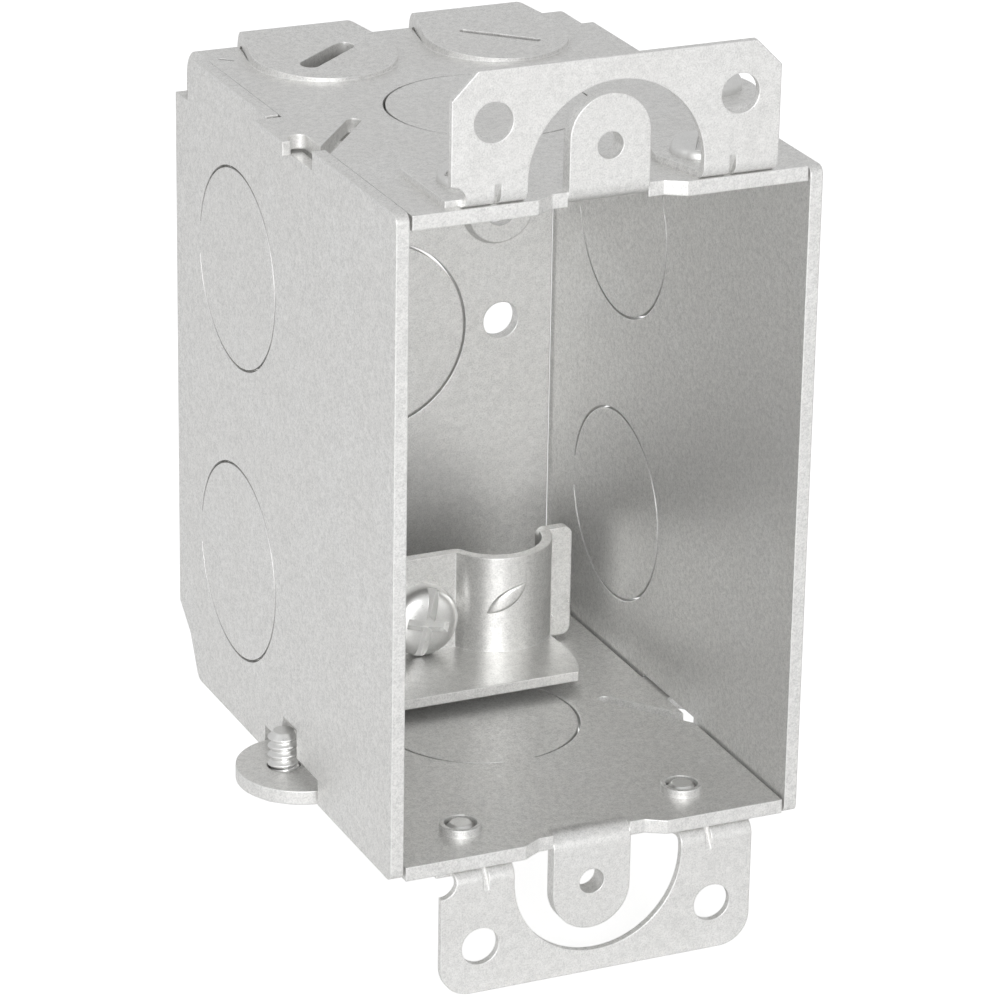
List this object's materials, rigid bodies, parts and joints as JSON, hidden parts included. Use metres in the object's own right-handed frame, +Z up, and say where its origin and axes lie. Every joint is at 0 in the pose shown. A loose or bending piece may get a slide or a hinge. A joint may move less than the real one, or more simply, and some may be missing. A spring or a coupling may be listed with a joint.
{
  "type": "switch box",
  "caption": "Gangable steel switch box for one device, with removable side plates, plaster ears, knockouts, pry-outs and cable clamps.",
  "frame": {"origin": "midway between the two device screw holes, on the front face of the device tabs", "axes": "+X to the right seen from the front, +Y into the box towards its back, +Z up"},
  "size_m": [0.0602, 0.065, 0.1032],
  "materials": {
    "galvanised_sheet": "dull galvanised sheet with fine grain",
    "zinc_screw": "bright zinc plated"
  },
  "bodies": {
    "box": {"box_body": "galvanised_sheet", "left_side_plate": "galvanised_sheet", "right_side_plate": "galvanised_sheet"},
    "left_gang_screw": {"left_gang_screw": "zinc_screw"},
    "right_gang_screw": {"right_gang_screw": "zinc_screw"},
    "top_ear": {"top_ear": "galvanised_sheet"},
    "bottom_ear": {"bottom_ear": "galvanised_sheet"},
    "top_left_ear_screw": {"top_left_ear_screw": "zinc_screw"},
    "top_right_ear_screw": {"top_right_ear_screw": "zinc_screw"},
    "bottom_left_ear_screw": {"bottom_left_ear_screw": "zinc_screw"},
    "bottom_right_ear_screw": {"bottom_right_ear_screw": "zinc_screw"},
    "lower_clamp": {"lower_clamp": "galvanised_sheet"},
    "upper_clamp": {"upper_clamp": "galvanised_sheet"},
    "lower_clamp_screw": {"lower_clamp_screw": "zinc_screw"},
    "upper_clamp_screw": {"upper_clamp_screw": "zinc_screw"}
  },
  "joints": [
    {"name": "top_ear_slide", "type": "slide", "parent": "box", "child": "top_ear", "axis": [0, -1, 0], "range_m": [-0.001, 0.003]},
    {"name": "bottom_ear_slide", "type": "slide", "parent": "box", "child": "bottom_ear", "axis": [0, -1, 0], "range_m": [-0.001, 0.003]},
    {"name": "left_gang_screw_out", "type": "slide", "parent": "box", "child": "left_gang_screw", "axis": [0, 0, -1], "range_m": [0, 0.007]},
    {"name": "right_gang_screw_out", "type": "slide", "parent": "box", "child": "right_gang_screw", "axis": [0, 0, 1], "range_m": [0, 0.007]},
    {"name": "top_left_ear_screw_out", "type": "slide", "parent": "box", "child": "top_left_ear_screw", "axis": [0, 0, 1], "range_m": [0, 0.0016]},
    {"name": "top_right_ear_screw_out", "type": "slide", "parent": "box", "child": "top_right_ear_screw", "axis": [0, 0, 1], "range_m": [0, 0.0016]},
    {"name": "bottom_left_ear_screw_out", "type": "slide", "parent": "box", "child": "bottom_left_ear_screw", "axis": [0, 0, -1], "range_m": [0, 0.0016]},
    {"name": "bottom_right_ear_screw_out", "type": "slide", "parent": "box", "child": "bottom_right_ear_screw", "axis": [0, 0, -1], "range_m": [0, 0.0016]},
    {"name": "lower_clamp_tighten", "type": "slide", "parent": "box", "child": "lower_clamp", "axis": [0, 1, 0], "range_m": [-0.002, 0.006]},
    {"name": "upper_clamp_tighten", "type": "slide", "parent": "box", "child": "upper_clamp", "axis": [0, 1, 0], "range_m": [-0.002, 0.006]},
    {"name": "lower_clamp_screw_turn", "type": "hinge", "parent": "lower_clamp", "child": "lower_clamp_screw", "pos_m": [-0.0008, 0.0455, -0.0288], "axis": [0, 1, 0], "range_deg": [-910, 2725]},
    {"name": "upper_clamp_screw_turn", "type": "hinge", "parent": "upper_clamp", "child": "upper_clamp_screw", "pos_m": [0.0008, 0.0455, 0.0288], "axis": [0, 1, 0], "range_deg": [-910, 2725]}
  ],
  "couplings": [
    {"joint": "lower_clamp_screw_turn", "follows": "lower_clamp_tighten", "rad_per_m": 7915.8},
    {"joint": "upper_clamp_screw_turn", "follows": "upper_clamp_tighten", "rad_per_m": 7915.8}
  ]
}
